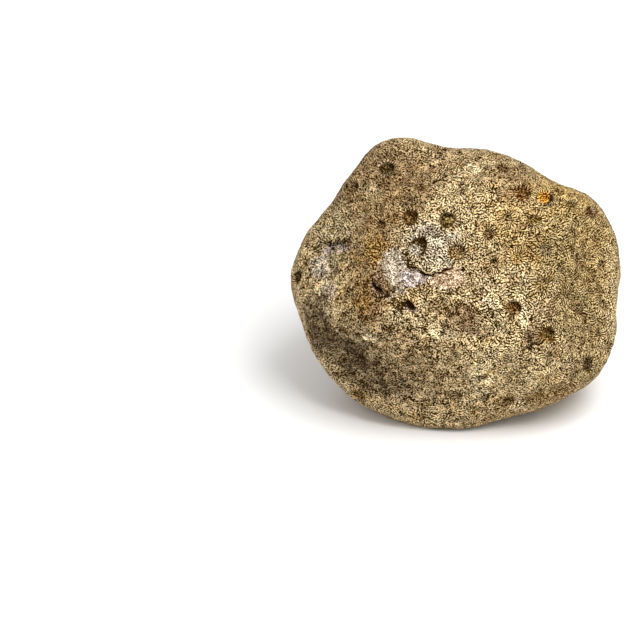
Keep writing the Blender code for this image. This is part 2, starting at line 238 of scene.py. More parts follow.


# %% [markdown]
# ## Where the calices are
# The cups on the broad face are listed one by one. Those on the sides and back follow a rule: random
# directions from the middle of the stone, each kept only if it is far enough from the ones before. The solid
# model has the same rule, so those cups land on its coarse ones. Half of the listed cups are the solid's own
# too. The others lie up to a millimetre and a half from the solid's, and some are a little larger or smaller.

# %% The calices that are open cups
# (x, v, radius of the rim, depth), in millimetres in face coordinates
FACE_CALICES = (
    (-20.2, 32.8, 2.3, 1.1), (-30.2, 27.3, 2.2, 0.9), (-11.0, 27.4, 1.6, 0.9), (-13.7, 18.6, 2.4, 1.2),
    (-22.3, 16.4, 1.7, 1.0), (-3.0, 17.8, 2.4, 1.6), (-11.3, 10.1, 2.7, 1.8), (-0.2, 8.5, 2.6, 1.0),
    (9.6, 25.4, 2.4, 0.5), (18.8, 25.7, 3.0, 1.15), (25.6, 24.4, 2.5, 1.1), (33.3, 22.4, 1.6, 0.9),
    (39.2, 20.5, 1.9, 1.0), (13.4, 33.0, 2.0, 0.9), (22.2, 17.7, 1.9, 0.9), (9.0, 13.7, 1.7, 0.8),
    (10.4, 5.0, 1.5, 0.7), (14.6, 18.1, 1.6, 0.5), (25.5, 9.2, 1.6, 0.6), (34.8, 6.6, 1.8, 0.6),
    (17.0, 6.6, 2.0, 0.5), (24.4, -0.9, 2.4, 0.7), (42.0, 5.0, 1.5, 0.5), (33.4, 14.0, 1.7, 0.5),
    (16.2, -7.6, 2.2, 1.3), (25.8, -15.4, 2.6, 1.2), (38.4, -24.0, 2.3, 0.8), (16.5, -26.6, 2.3, 0.8),
    (6.9, -27.9, 1.4, 0.8), (15.2, -34.0, 1.6, 0.9), (26.4, -21.4, 1.3, 0.7), (35.4, -8.2, 2.0, 0.5),
    (42.4, -6.6, 1.7, 0.5), (41.0, -15.4, 1.8, 0.6),
)  # fmt: skip
HIDDEN_CALICES = 54
HIDDEN_SPACING = (19.0, 13.0)  # degrees apart, at the first and at the last
HIDDEN_RADIUS = (1.5, 2.5)
HIDDEN_DEPTH = (0.35, 0.75)  # as a share of the radius
SEED = 11
FURTHEST_FORWARD = 0.15
FURTHEST_DOWN = 0.62
DOWN = FACE_AXES @ np.array((0.0, 0.0, -1.0))  # in face coordinates


def hidden_calices():
    """Direction, radius and depth of each calice on the sides and back."""
    rng = np.random.default_rng(SEED)
    found = []
    while len(found) < HIDDEN_CALICES:
        direction = unit(rng.normal(size=3))
        radius = rng.uniform(*HIDDEN_RADIUS)
        depth = radius * rng.uniform(*HIDDEN_DEPTH)
        room = np.interp(len(found) / HIDDEN_CALICES, (0, 1), HIDDEN_SPACING)
        nearest = max((direction @ other for other, _, _ in found), default=-1.0)
        outside = direction[2] > FURTHEST_FORWARD or direction @ DOWN > FURTHEST_DOWN
        if not outside and nearest < math.cos(math.radians(room)):
            found.append((direction, radius, depth))
    return found


def tree_of(obj):
    """A search tree of the object's faces, for casting rays at it."""
    corners = [vertex.co / MM for vertex in obj.data.vertices]
    return BVHTree.FromPolygons(corners, [face.vertices[:] for face in obj.data.polygons])


tree = tree_of(stone)
FAR = 200.0  # mm, outside the stone
hits, sizes = [], []
for x, v, radius, depth in FACE_CALICES:
    hits.append(tree.ray_cast(Vector(to_row((x, v, FAR))), Vector(-FACE_OUT))[0])
    sizes.append((radius, depth))
for direction, radius, depth in hidden_calices():
    outward = direction @ FACE_AXES
    hits.append(tree.ray_cast(Vector(STONE_CENTRE + FAR * outward), Vector(-outward))[0])
    sizes.append((radius, depth))
cup_places = np.array(hits)
cup_radii, cup_depths = np.array(sizes).T
print(len(cup_places), "open cups")

# %% [markdown]
# ## Healing the coarse cups
# The cups came through the remesh as blunt dents with traces of the old triangles. They are smoothed shut
# first, with a Smooth modifier that is limited to a vertex group, and then carved again with a clean profile.

# %% Smooth the coarse cups shut
HEALED = (1.35, 1.7)  # times the rim's radius: where the healing starts to fade and is gone
HEALING = 120  # rounds of smoothing
places = points_of(stone)
nearest_share = np.full(len(places), np.inf)
for cup, radius in zip(cup_places, cup_radii):
    nearest_share = np.minimum(nearest_share, np.linalg.norm(places - cup, axis=1) / radius)
paint_group(stone, "coarse_cups", 1 - smooth_step(nearest_share, *HEALED))
apply_modifier(stone, "SMOOTH", factor=SMOOTHING, iterations=HEALING, vertex_group="coarse_cups")
stone.vertex_groups.clear()

tree = tree_of(stone)
nearest = [tree.find_nearest(Vector(cup)) for cup in cup_places]
cup_places = np.array([found[0] for found in nearest])
cup_normals = np.array([found[1] for found in nearest])

# %% [markdown]
# ## Lines on the broad face
# Cracks are narrow grooves. Steps are where a flake came off: the ground drops sharply on one side of the
# line and climbs back slowly. Nothing in a broken stone is straight, so every point of the skin is first
# moved a little by a sum of sine waves, and its distance to a line is measured from there.

# %% Cracks, steps and how to measure from them
# (half width, depth, points as x, v), in millimetres in face coordinates
CRACKS = (
    (0.7, 1.2, ((-39.8, 10.5), (-35.8, 11.2), (-29.9, 12.7))),
    (0.5, 1.0, ((-23.4, -0.6), (-22.0, -1.2), (-20.4, -2.9))),
    (0.7, 1.1, ((-14.6, -5.1), (-12.8, -6.4), (-10.5, -7.8))),
    (0.5, 0.8, ((-11.4, 3.4), (-9.6, 1.6), (-6.2, 2.9), (-2.2, 5.3))),
    (0.5, 1.0, ((18.6, -20.7), (21.2, -18.4), (24.6, -17.4))),
    (0.45, 0.8, ((18.9, -15.2), (20.1, -16.9), (21.2, -18.4))),
    (0.9, 1.2, ((6.4, -32.3), (7.7, -35.5))),
    (0.4, 0.5, ((5.8, -6.6), (7.5, -8.9), (10.3, -11.7), (14.7, -15.2))),
)
# (height, points as x, v): the lower ground is on the right of someone walking the line
STEPS = (
    (0.9, ((-15.4, 11.4), (-14.9, 7.7), (-13.2, 4.9), (-11.4, 3.7), (-9.0, 1.9), (-4.9, 3.6), (-2.4, 5.2))),
    (0.3, ((-23.6, -0.4), (-20.3, -3.7), (-14.8, -2.2), (-9.0, 0.4))),
    (0.35, ((-8.6, -2.3), (-5.6, -2.9), (-1.5, -2.7), (2.6, -1.2))),
    (0.8, ((-42.1, 10.5), (-37.0, 11.2), (-32.5, 11.7), (-28.8, 11.9))),
    (0.6, ((5.8, -6.6), (7.5, -8.9), (10.3, -11.7), (14.7, -15.2))),
    (0.35, ((9.6, -12.6), (14.2, -15.4), (15.6, -17.4))),
)
STEP_REACH = 1.2  # mm: the lip is highest and the gutter deepest at half of this from the line
WANDER = 0.22  # about how far each wave moves a point, as a share of the wave's length over tau
WANDER_WAVES = 24
WANDER_FREQUENCY = 1.1  # radians per mm
wander_rng = np.random.default_rng(4)
wander_waves = wander_rng.normal(size=(3, WANDER_WAVES)) * WANDER_FREQUENCY
wander_starts = wander_rng.uniform(0, math.tau, WANDER_WAVES)
wander_sizes = wander_rng.normal(size=(WANDER_WAVES, 3)) / np.linalg.norm(wander_waves, axis=0)[:, None]


def wandered(points):
    """The points, each moved a little by the sine waves."""
    return points + WANDER * np.sin(points @ wander_waves + wander_starts) @ wander_sizes


def from_line(points, line):
    """How far each (x, v) lies to the right of someone walking the line, and the share of it walked there."""
    corners = np.array(line)
    lengths = np.linalg.norm(np.diff(corners, axis=0), axis=1)
    walked = np.concatenate(([0.0], np.cumsum(lengths)))
    offset, share = np.full(len(points), np.inf), np.zeros(len(points))
    for number, length in enumerate(lengths):
        start = corners[number]
        run = (corners[number + 1] - start) / length
        along = np.clip((points - start) @ run, 0, length)
        gap = points - start - along[:, None] * run
        apart = np.linalg.norm(gap, axis=1) * np.where(gap @ (run[1], -run[0]) < 0, -1, 1)
        nearer = np.abs(apart) < np.abs(offset)
        offset = np.where(nearer, apart, offset)
        share = np.where(nearer, (walked[number] + along) / walked[-1], share)
    return offset, share


def from_lines(face):
    """The nearest distance to any crack or step, for points in face coordinates."""
    near = np.full(len(face), np.inf)
    for _, line in [crack[1:] for crack in CRACKS] + list(STEPS):
        near = np.minimum(near, np.abs(from_line(face[:, :2], line)[0]))
    return np.where(face[:, 2] > 0, near, np.inf)


# %% [markdown]
# ## A finer mesh where it is carved
# Cup walls and cracks need smaller faces than the rest of the stone. Splitting them all would cost too many,
# so only those near a feature are selected and subdivided, and the new points are smoothed into the skin.

# %% Subdivide near the features
NEAR_CUP = 1.3  # as a share of its radius
NEAR_LINE = 2.0  # mm

places = points_of(stone)
near_feature = from_lines(to_face(places)) < NEAR_LINE
for cup, radius in zip(cup_places, cup_radii):
    near_feature |= np.linalg.norm(places - cup, axis=1) < NEAR_CUP * radius


def select_faces(obj, chosen_points):
    """Selects the faces whose corners are all among the chosen points, and nothing else."""
    mesh = obj.data
    mesh.vertices.foreach_set("select", np.zeros(len(mesh.vertices), bool))
    mesh.edges.foreach_set("select", np.zeros(len(mesh.edges), bool))
    chosen = [all(chosen_points[list(face.vertices)]) for face in mesh.polygons]
    mesh.polygons.foreach_set("select", chosen)


bpy.context.view_layer.objects.active = stone
bpy.ops.object.mode_set(mode="EDIT")
bpy.ops.mesh.select_mode(type="FACE")
bpy.ops.object.mode_set(mode="OBJECT")
select_faces(stone, near_feature)
bpy.ops.object.mode_set(mode="EDIT")
bpy.ops.mesh.subdivide(number_cuts=1, smoothness=1.0)
bpy.ops.object.mode_set(mode="OBJECT")
apply_modifier(stone, "TRIANGULATE")
print("Finer near the features, the skin has", len(stone.data.polygons), "triangles")

# %% [markdown]
# ## Rough ground
# A beach stone is never quite smooth. Two cloud textures push the skin in and out by a few tenths of a
# millimetre: a broad one all over, and a fine one that is strongest where the surface has broken away.

# %% Roughen the skin
SWELL_HEIGHT, SWELL_SIZE = 0.6, 3.2  # mm
GRIT_HEIGHT, GRIT_SIZE = 0.8, 1.3  # mm
GRIT_MIDDLE = 0.6  # the value of the cloud that leaves a point where it is
WHOLE_GROUND_GRIT = 0.3  # of the full height, where the surface is whole
BROKEN_FADE = (0.5, 1.2)  # times the ellipse: where it starts to fade and is gone
BASE_FADE = (0.3, 3.0)  # mm above the floor: the base below stays flat
# (x, v, half length, half width, turn in degrees) of the broken ground, in face coordinates
BROKEN_GROUND = (
    (-25.0, -12.0, 22.0, 12.0, -35.0),
    (-2.0, -12.0, 14.0, 7.0, -25.0),
    (-10.0, -28.0, 26.0, 8.0, -12.0),
    (-37.0, 4.0, 9.0, 8.0, 0.0),
)


def cloud(name, size):
    texture = bpy.data.textures.new(name, "CLOUDS")
    texture.noise_scale = size * MM
    texture.noise_depth = 2
    return texture


def reach_of(points, x, v, half_length, half_width, turn):
    """How far points lie from the middle of a turned ellipse, where 1 is its edge."""
    turn = math.radians(turn)
    along = (points[:, 0] - x) * math.cos(turn) + (points[:, 1] - v) * math.sin(turn)
    aside = (points[:, 1] - v) * math.cos(turn) - (points[:, 0] - x) * math.sin(turn)
    return np.hypot(along / half_length, aside / half_width)


places = points_of(stone)
face = to_face(places)
above_base = smooth_step(places[:, 2], *BASE_FADE)
grit_here = np.full(len(places), WHOLE_GROUND_GRIT)
for ground in BROKEN_GROUND:
    inside = (1 - smooth_step(reach_of(face, *ground), *BROKEN_FADE)) * (face[:, 2] > 0)
    grit_here = np.maximum(grit_here, inside)
swell, grit = cloud("swell", SWELL_SIZE), cloud("grit", GRIT_SIZE)
group = paint_group(stone, "off_base", above_base)
apply_modifier(stone, "DISPLACE", strength=SWELL_HEIGHT * MM, texture=swell, vertex_group=group)
group = paint_group(stone, "rough", above_base * grit_here)
apply_modifier(
    stone, "DISPLACE", strength=GRIT_HEIGHT * MM, mid_level=GRIT_MIDDLE, texture=grit, vertex_group=group
)
stone.vertex_groups.clear()

# %% [markdown]
# ## Carving the cups
# Each cup is a slanted hole, because the coral grew at a slant to the surface that the sea wore. Its upper
# right wall is steep and is painted dark with dirt and painted shade, as the side that the lamp doesn't
# reach, and its floor climbs out gently on the lower left. Its rim is pushed a little out of round and stands
# up as a low lip.

# %% Carve the cups
# (distance from the middle as a share of the rim's radius, depth as a share of the cup's)
CUP_PROFILE = ((0.0, 1.0), (0.5, 0.96), (0.84, 0.74), (1.0, 0.12), (1.08, -0.08), (1.25, -0.05), (1.6, 0.0))
CUP_DEPTH = 1.15  # times the depth in the list
CUP_REACH = 2.2  # times the rim's radius: points further out are left alone
CUP_EDGE = (0.88, 1.04)  # times the rim's radius: where the inside of the cup ends
GROWTH = np.array((0.6, 0.8, 0.0)) @ FACE_AXES  # the way the coral grew: up and to the right on the face
OFF_MIDDLE = 0.45  # how far the deepest point lies from the middle that way, as a share of the radius
OUT_OF_ROUND = (0.09, 0.06)  # in two and three lobes
BOSSES = ((-1.9, 17.8, 1.5, 1.2),)  # (x, v, radius, height) of a lump left in a cup, in face coordinates
BOSS_SLOPE = (0.3, 1.0)  # times its radius
DIRT_AND_SHADE_DEPTH = 1.2  # mm: a cup holds its full share of dirt and painted shade from this depth
DIRT_AND_SHADE_SIDE = (-0.1, 0.6)  # times the radius, from the middle towards the steep wall, where the dirt and painted shade start and are whole
ODD_DIRECTION = (0.31, 0.27, 0.91)  # no cup looks exactly this way
rng = np.random.default_rng(5)


def tangents(normals):
    """Two directions along the surface, square to each other, for each normal."""
    first = unit(np.cross(normals, ODD_DIRECTION))
    return first, np.cross(normals, first)


cup_firsts, cup_seconds = tangents(cup_normals)
cup_growth = GROWTH - (cup_normals @ GROWTH)[:, None] * cup_normals
cup_leans = OFF_MIDDLE * cup_radii[:, None] * cup_growth
shares, parts = zip(*CUP_PROFILE)
places = points_of(stone)
sunk, in_cup, dirt_and_shade = np.zeros((3, len(places)))
for number, cup in enumerate(cup_places):
    offset = places - cup
    close = np.flatnonzero(np.linalg.norm(offset, axis=1) < CUP_REACH * cup_radii[number])
    offset = offset[close]
    turn = np.arctan2(offset @ cup_seconds[number], offset @ cup_firsts[number])
    lobes = zip(OUT_OF_ROUND, rng.uniform(0, math.tau, 2), (2, 3))
    bulge = sum(size * np.cos(count * turn + start) for size, start, count in lobes)
    radius = cup_radii[number] * (1 + bulge)
    straight_share = np.linalg.norm(offset, axis=1) / radius
    pulled = offset - cup_leans[number] * np.maximum(1 - straight_share, 0)[:, None]
    share = np.linalg.norm(pulled, axis=1) / radius
    sunk[close] += CUP_DEPTH * cup_depths[number] * np.interp(share, shares, parts)
    inside = 1 - smooth_step(straight_share, *CUP_EDGE)
    in_cup[close] = np.maximum(in_cup[close], inside)
    # The steep upper right wall, away from the lamp, is painted dark with dirt and painted shade, more in a
    # deeper cup.
    uphill = offset @ cup_growth[number] / radius
    dirty_and_shaded = inside * smooth_step(uphill, *DIRT_AND_SHADE_SIDE) * min(cup_depths[number] / DIRT_AND_SHADE_DEPTH, 1)
    dirt_and_shade[close] = np.maximum(dirt_and_shade[close], dirty_and_shaded)
for x, v, radius, height in BOSSES:
    face = to_face(places)
    share = np.hypot(face[:, 0] - x, face[:, 1] - v) / radius
    sunk -= height * (1 - smooth_step(share, *BOSS_SLOPE)) * (face[:, 2] > 0)
sink(stone, sunk)
print("The deepest cup is", round(sunk.max(), 2), "mm deep")

# %% [markdown]
# ## Carving the cracks and steps
# The solid has most of the cracks and steps already, within a millimetre or two of these lines and with soft
# edges after the remesh. A narrow groove along each crack, and a lip above and a gutter below each step, make
# them crisp. All of these fade towards the ends of their line. Cracks and gutters are also darkened in the
# colour: painted shade, with some dirt in the cracks.

# %% Carve the cracks and steps
FULL_SHADE_DEPTH = 0.7  # mm: a crack or a step is painted fully dark from this depth, as painted shade
CRACK_BOTTOM = 0.1  # mm, half its width
GUTTER_SHADE_MIDDLE, GUTTER_SHADE_WIDTH = 0.15, 0.4  # mm beside the step's line, where the painted shade in its gutter lies
LINE_ENDS = (0.02, 0.98)  # as a share of the line's length
BROAD_FACE = (2.0, 8.0)  # mm out from the middle of the stone


def faded(share):
    """How much of a groove or a step is left at this share of its line: all of it in the middle."""
    return np.sqrt(np.sin(math.pi * np.clip(share, *LINE_ENDS)))


places = points_of(stone)
face = wandered(to_face(places))
on_broad_face = smooth_step(face[:, 2], *BROAD_FACE)
sunk, crack_shade = np.zeros((2, len(places)))
for half_width, depth, line in CRACKS:
    offset, share = from_line(face[:, :2], line)
    inside = (1 - smooth_step(np.abs(offset), CRACK_BOTTOM, half_width)) * faded(share) * on_broad_face
    sunk += depth * inside
    # Painted shade with some dirt along the crack, darker in a deeper one
    crack_shade = np.maximum(crack_shade, inside * min(depth / FULL_SHADE_DEPTH, 1))
for height, line in STEPS:
    offset, share = from_line(face[:, :2], line)
    strength = faded(share) * on_broad_face
    lip_and_gutter = offset / STEP_REACH * np.exp(0.5 - 2 * (offset / STEP_REACH) ** 2) * 2
    sunk += 0.5 * height * lip_and_gutter * strength
    # Painted shade in the gutter below the step
    gutter_shade = np.exp(-(((offset - GUTTER_SHADE_MIDDLE) / GUTTER_SHADE_WIDTH) ** 2)) * min(height / FULL_SHADE_DEPTH, 1)
    crack_shade = np.maximum(crack_shade, gutter_shade * strength)
sink(stone, sunk)

# %% [markdown]
# ## More corallites
# Between the open cups lie many corallites whose cup is filled or worn away, and only their ribs show. They
# fill the ground by trial, each at least seven millimetres from the others, and leave a faint dish.

# %% Find the worn corallites
FAINT_SPACING = 7.4  # mm
FAINT_TRIALS = 6000
FAINT_RADIUS, FAINT_DEPTH = 2.2, 0.3  # mm
BLOCK = 20000  # points at a time, to spare memory

places = points_of(stone)
centres = list(cup_places)
rng = np.random.default_rng(3)
for index in rng.integers(len(places), size=FAINT_TRIALS):
    if np.linalg.norm(np.array(centres) - places[index], axis=1).min() > FAINT_SPACING:
        centres.append(places[index])
centres = np.array(centres)
filled = np.zeros(len(centres) - len(cup_radii))
open_radii = np.concatenate((cup_radii, filled))
open_depths = np.concatenate((cup_depths, filled))
print(len(centres), "corallites in all")


def nearest_centre(points):
    """The number of the corallite nearest to each point."""
    found = np.empty(len(points), int)
    for start in range(0, len(points), BLOCK):
        block = points[start : start + BLOCK]
        found[start : start + BLOCK] = np.linalg.norm(block[:, None] - centres, axis=2).argmin(axis=1)
    return found


point_owner = nearest_centre(places)
from_middle = np.linalg.norm(places - centres[point_owner], axis=1)
open_here = open_radii[point_owner]
dish = FAINT_DEPTH * (1 - smooth_step(from_middle, 0, FAINT_RADIUS)) * (open_here == 0)
sink(stone, dish * smooth_step(places[:, 2], *BASE_FADE))

# %% [markdown]
# ## A map for the ribs
# The ribs are far finer than the mesh, so they belong in the material. They need to know where the middle of
# their own corallite is, and a UV map can say that: each face takes the corallite that is nearest to it, and
# stores how far its corners lie from that corallite's middle, along the surface.

# %% Lay out the rib map
MAP_SCALE = 0.1  # UV units per millimetre

mesh = stone.data
corners = np.empty(len(mesh.loops), int)
mesh.loops.foreach_get("vertex_index", corners)
places = points_of(stone)
owner = np.repeat(nearest_centre(places[corners].reshape(-1, 3, 3).mean(axis=1)), 3)
tree = tree_of(stone)
centre_normals = np.array([tree.find_nearest(Vector(centre))[1] for centre in centres])
firsts, seconds = tangents(centre_normals)
offsets = places[corners] - centres[owner]
rib_map = mesh.uv_layers.new(name="ribs")
across = np.einsum("ij,ij->i", offsets, firsts[owner])
upward = np.einsum("ij,ij->i", offsets, seconds[owner])
rib_map.data.foreach_set("uv", (np.column_stack((across, upward)) * MAP_SCALE).ravel())

OPEN_COLLAR = (0.3, 1.9)  # mm beyond the rim of an open cup, where its rays start to fade and are gone
RIM = (-0.05, 0.15)  # the same, where they start inside its rim
WORN_COLLAR = (2.6, 4.6)  # from the middle of a worn one, where its rays start to fade and are gone
WORN_CORE = (1.0, 1.8)  # where they start
WORN_CLARITY = (0.1, 0.8)  # of the least and the most clear worn one
worn_clarity = np.random.default_rng(6).uniform(*WORN_CLARITY, len(centres))[point_owner]
clear_ribs = np.where(
    open_here > 0,
    (1 - smooth_step(from_middle - open_here, *OPEN_COLLAR)) * smooth_step(from_middle - open_here, *RIM),
    worn_clarity * (1 - smooth_step(from_middle, *WORN_COLLAR)) * smooth_step(from_middle, *WORN_CORE),
)
NUDGE = 1e-6  # so that the middle of a corallite has a direction too
across_ribs = unit(np.cross(normals_of(stone), places - centres[point_owner]) + NUDGE)


def store(name, values, kind="FLOAT", key="value"):
    """A named value at each point, for the material to read."""
    attribute = stone.data.attributes.new(name, kind, "POINT")
    attribute.data.foreach_set(key, np.asarray(values, np.float32).ravel())


# Painted shade along the cracks and in the steps' gutters, with some dirt in the cracks
store("crack", np.clip(crack_shade, 0, 1))
store("clear_ribs", clear_ribs)
store("across_ribs", across_ribs, "FLOAT_VECTOR", "vector")

# %% [markdown]
# ## Colours that follow the surface
# The fossil is stained unevenly: olive and honey where the coral is whole, ochre where iron has soaked in,
# umber in hollows, and umber with painted shade on the steep walls of the cups. The lower left and the bottom
# are darkened further with painted shade where the stone turns down away from the light, and the ridge above
# them has a painted highlight. Soft ellipses of named colours are painted one over another into a colour
# attribute, given one by one on the broad face and by a seeded rule on the rest. Where a chip came off, the
# fresh stone is pale grey or pink and has a sharp edge, so chips are closed outlines.

# %% Paint the stains
TONE = np.array((0.9, 0.84, 0.71))  # what every stain is scaled by, in red, green and blue
COLOURS = {  # sRGB, from 0 to 255
    "olive": (165, 138, 85),
    "dull_olive": (132, 106, 46),
    "mustard": (170, 134, 54),
    "moss": (150, 131, 86),
    "honey": (186, 161, 106),
    "cream": (224, 206, 162),
    "ochre": (128, 88, 20),
    "umber": (62, 43, 13),
    "brown": (112, 82, 36),
    "bark": (110, 87, 42),
    "russet": (106, 77, 44),
    "sienna": (150, 112, 62),
    "drab": (156, 131, 88),
    "shade": (80, 61, 26),
    "grey": (174, 161, 136),
    "lilac": (170, 156, 168),
    "pale_lilac": (208, 199, 207),
    "chip_grey": (204, 195, 185),
    "chip_pink": (214, 192, 171),
    "orange": (224, 166, 48),
}
BASE_COLOUR = "olive"
# (colour, x, v, half length, half width, turn in degrees, strength), in face coordinates
STAINS = (
    ("mustard", 25.0, 17.0, 20.0, 15.0, -30, 0.7),
    ("honey", 3.0, 24.0, 10.0, 7.0, -12, 0.4),
    ("honey", 12.0, -14.0, 8.0, 7.0, -30, 0.8),
    ("honey", 9.0, -24.0, 6.0, 9.0, 0, 1.0),
    ("honey", 25.0, -27.0, 8.0, 4.0, 15, 0.8),
    ("cream", 7.5, -29.0, 3.0, 5.0, 10, 0.6),
    ("mustard", 33.0, 24.0, 10.0, 5.0, -35, 0.9),
    ("dull_olive", 34.0, 10.0, 12.0, 11.0, -15, 0.8),
    ("dull_olive", 37.0, -6.0, 10.0, 16.0, 0, 0.8),
    ("honey", 45.6, -4.0, 2.4, 15.0, 0, 0.8),
    ("dull_olive", 39.0, -25.0, 6.0, 4.0, 40, 0.9),
    ("brown", 18.0, 31.0, 5.0, 3.0, -20, 0.7),
    ("brown", 21.0, 15.0, 3.0, 3.0, 0, 0.6),
    ("brown", 22.5, -15.4, 4.0, 3.0, 0, 0.85),
    ("mustard", 41.0, 7.0, 7.0, 16.0, 0, 0.3),
    ("mustard", -36.0, -8.0, 6.0, 15.0, 0, 0.35),
    ("ochre", -20.0, 30.0, 15.0, 10.0, 15, 0.6),
    ("ochre", -20.0, 28.0, 14.0, 9.0, 15, 0.35),
    ("ochre", -4.0, 36.0, 10.0, 4.0, -5, 0.3),
    ("brown", -20.0, 33.0, 9.0, 5.0, 20, 0.55),
    ("brown", -33.6, 25.6, 3.0, 6.0, -20, 0.6),
    ("brown", -26.0, 38.0, 6.0, 4.0, 20, 0.8),
    ("brown", -13.2, 27.0, 3.6, 4.0, 0, 0.6),
    ("brown", -12.0, 23.0, 5.0, 3.0, 30, 0.6),
    ("moss", -35.0, 15.5, 7.0, 5.0, 45, 0.8),
    ("moss", -38.0, 6.0, 5.0, 5.0, 0, 0.8),
    ("lilac", -34.5, 10.2, 4.6, 1.4, 8, 0.7),
    ("chip_grey", -39.5, 4.0, 3.0, 3.6, 20, 0.6),
    ("cream", -37.6, -2.4, 3.4, 4.0, 20, 0.4),
    ("lilac", -36.8, -2.6, 2.0, 2.6, 20, 0.4),
    ("ochre", -21.0, 17.5, 6.0, 3.6, 20, 0.8),
    ("ochre", -25.4, 3.0, 6.6, 15.0, 8, 0.8),
    ("ochre", -23.0, 10.0, 4.0, 6.0, -30, 0.8),
    ("brown", -26.6, -3.6, 5.0, 6.0, -5, 0.8),
    ("ochre", -26.6, -8.0, 5.0, 3.6, -40, 0.8),
    ("brown", -19.0, 15.0, 3.4, 2.6, 0, 0.3),
    # On the lower left, the honey stain on the ridge is a painted highlight, and the brown, shade and umber
    # stains below it and along the bottom are the stone's own brown together with painted shade where the
    # stone turns down away from the light.
    ("honey", -34.0, -10.0, 3.0, 4.0, 30, 0.7),
    ("brown", -22.0, -20.0, 24.0, 12.0, -35, 0.45),
    ("shade", -33.0, -20.0, 11.0, 5.0, -35, 0.9),
    ("umber", -28.8, -19.6, 3.6, 2.8, -30, 1.0),
    ("shade", -40.0, -12.0, 4.0, 9.0, 10, 0.9),
    ("shade", -24.0, -27.4, 13.0, 5.4, -22, 0.6),
    ("umber", -24.0, -30.0, 8.0, 3.0, -22, 0.5),
    ("brown", -10.0, -28.0, 12.0, 5.0, -5, 0.2),
    ("brown", 25.0, -33.0, 13.0, 2.4, 20, 0.6),
    ("grey", -7.0, 11.0, 9.0, 7.5, -15, 0.85),
    ("shade", -7.6, 14.6, 3.6, 2.2, 0, 0.65),
    ("moss", -15.6, -10.0, 5.4, 3.0, -20, 0.8),
    ("russet", -4.0, -7.4, 4.6, 2.8, -15, 0.25),
    ("russet", 2.2, -10.4, 4.2, 4.8, 20, 1.0),
    ("brown", 6.4, -13.6, 4.6, 2.6, -10, 0.7),
    ("brown", -2.0, -14.0, 3.4, 2.6, 0, 0.85),
    ("brown", 14.6, 27.6, 3.4, 3.4, 0, 0.4),
    ("brown", 27.0, -20.4, 3.6, 3.0, 0, 0.35),
    ("brown", 33.0, -25.5, 3.6, 3.0, 0, 0.4),
    ("brown", 22.4, -11.6, 2.6, 5.0, 0, 0.5),
    ("cream", -5.6, -15.0, 5.0, 2.4, -10, 0.2),
    ("cream", -25.0, -16.0, 1.2, 1.2, 0, 1.0),
    ("brown", -10.0, -18.5, 5.0, 2.4, 10, 0.25),
    ("cream", 3.7, 32.6, 2.6, 2.2, 0, 1.0),
    ("honey", 17.4, -8.6, 5.0, 5.4, 0, 0.8),
    ("cream", 18.8, -8.6, 2.0, 4.4, 0, 0.5),
    ("cream", 9.5, -4.5, 3.0, 5.0, 0, 0.4),
    ("cream", -36.0, -8.0, 2.6, 2.4, 0, 0.4),
    ("honey", -25.4, 26.5, 3.4, 2.6, 0, 0.5),
    ("mustard", -25.2, 9.3, 2.6, 2.8, 0, 0.5),
    ("brown", -25.0, 3.6, 3.4, 2.6, 0, 0.4),
    ("brown", -20.0, 36.4, 8.0, 3.4, 15, 0.4),
    ("ochre", 13.0, 27.5, 9.0, 6.5, -15, 0.25),
    ("cream", 17.8, -35.8, 3.4, 1.8, 12, 0.5),
    ("dull_olive", 39.0, -5.2, 3.8, 3.8, 0, 0.6),
    ("ochre", -27.4, -6.6, 3.4, 3.2, 0, 0.6),
    ("brown", -13.0, -13.9, 2.8, 2.6, 0, 0.4),
    ("brown", -13.0, -25.5, 2.8, 2.6, 0, 0.3),
    ("brown", -1.8, -19.7, 2.8, 2.6, 0, 0.3),
    ("brown", 3.4, -25.5, 2.8, 2.6, 0, 0.3),
    ("brown", 14.8, -25.5, 2.8, 2.6, 0, 0.35),
)
# (colour, strength, outline as x, v), one painted over another
CHIPS = (
    (
        "chip_grey", 1.0,
        ((-19.1, 9.9), (-16.5, 9.6), (-15.2, 7.7), (-13.5, 4.7), (-11.7, 3.4), (-9.2, 2.3), (-7.8, 0.7),
         (-9.6, -0.2), (-12.2, -1.4), (-14.6, -4.0), (-18.4, -5.0), (-22.7, -1.7), (-22.5, 0.3),
         (-22.1, 4.8), (-19.5, 6.8)),
    ),
    (
        "brown", 0.85,
        ((-23.0, 0.3), (-22.1, 4.8), (-20.0, 5.2), (-18.6, 2.3), (-17.4, -1.2), (-18.6, -4.4), (-22.8, -2.0)),
    ),
    ("pale_lilac", 0.8, ((-15.4, 3.1), (-12.4, 3.5), (-9.2, 1.7), (-7.8, 0.7), (-9.8, -0.4), (-13.7, -1.2))),
    (
        "chip_pink", 1.0,
        ((-7.4, 0.5), (-7.8, 1.9), (-5.5, 3.9), (-4.0, 4.8), (-1.1, 4.7), (0.5, 2.5), (0.9, 0.4),
         (-1.2, -2.0), (-5.9, -1.8), (-6.9, -1.1)),
    ),
    ("lilac", 0.6, ((-23.6, -0.5), (-22.4, -0.1), (-19.8, -2.6), (-20.4, -4.2), (-23.4, -1.9))),
    ("lilac", 0.7, ((-14.3, -5.6), (-12.9, -6.5), (-10.2, -8.0), (-10.5, -9.1), (-13.9, -7.7))),
)  # fmt: skip
CHIP_EDGE = 0.35  # mm to either side of its outline, where its colour ends
CUP_FLOOR = ("brown", 0.4, 0.85)  # in a shallow cup, and in a deep one
# Umber for the dirt and painted shade on the steep upper right walls of the cups
CUP_DIRT_AND_SHADE = ("umber", 0.85)
